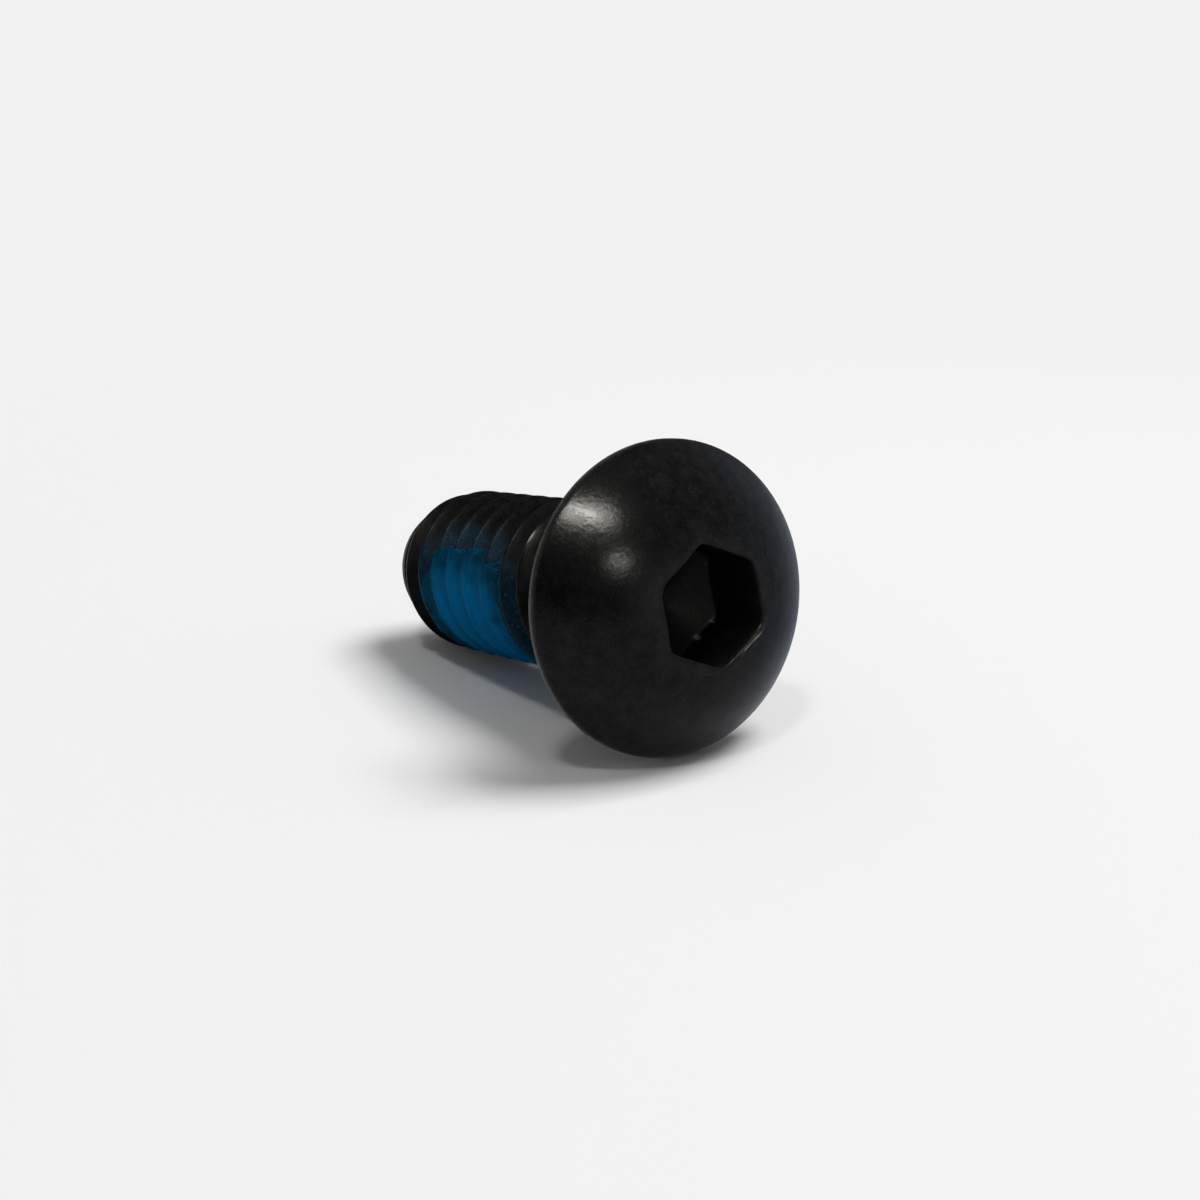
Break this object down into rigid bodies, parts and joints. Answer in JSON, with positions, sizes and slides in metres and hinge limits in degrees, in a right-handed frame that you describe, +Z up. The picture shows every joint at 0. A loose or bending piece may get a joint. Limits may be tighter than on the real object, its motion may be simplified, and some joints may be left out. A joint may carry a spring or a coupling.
{
  "type": "button head socket screw",
  "caption": "Black button head screw with a hexagon socket, a coarse right-hand thread and a blue nylon locking patch.",
  "frame": {"origin": "on the surface that the screw lies on, under the middle of its bounding box", "axes": "+Z up; the axis of the screw lies over +X, head towards +X, and rises 9.9 degrees towards the head, because the screw rests on its rim and its thread"},
  "size_m": [0.019, 0.011, 0.0109],
  "materials": {
    "black_oxide_steel": "black oxide, oiled, satin",
    "blue_nylon": "fused nylon powder, slightly rough"
  },
  "bodies": {
    "root": {"screw": "black_oxide_steel", "locking_patch": "blue_nylon"}
  },
  "joints": []
}
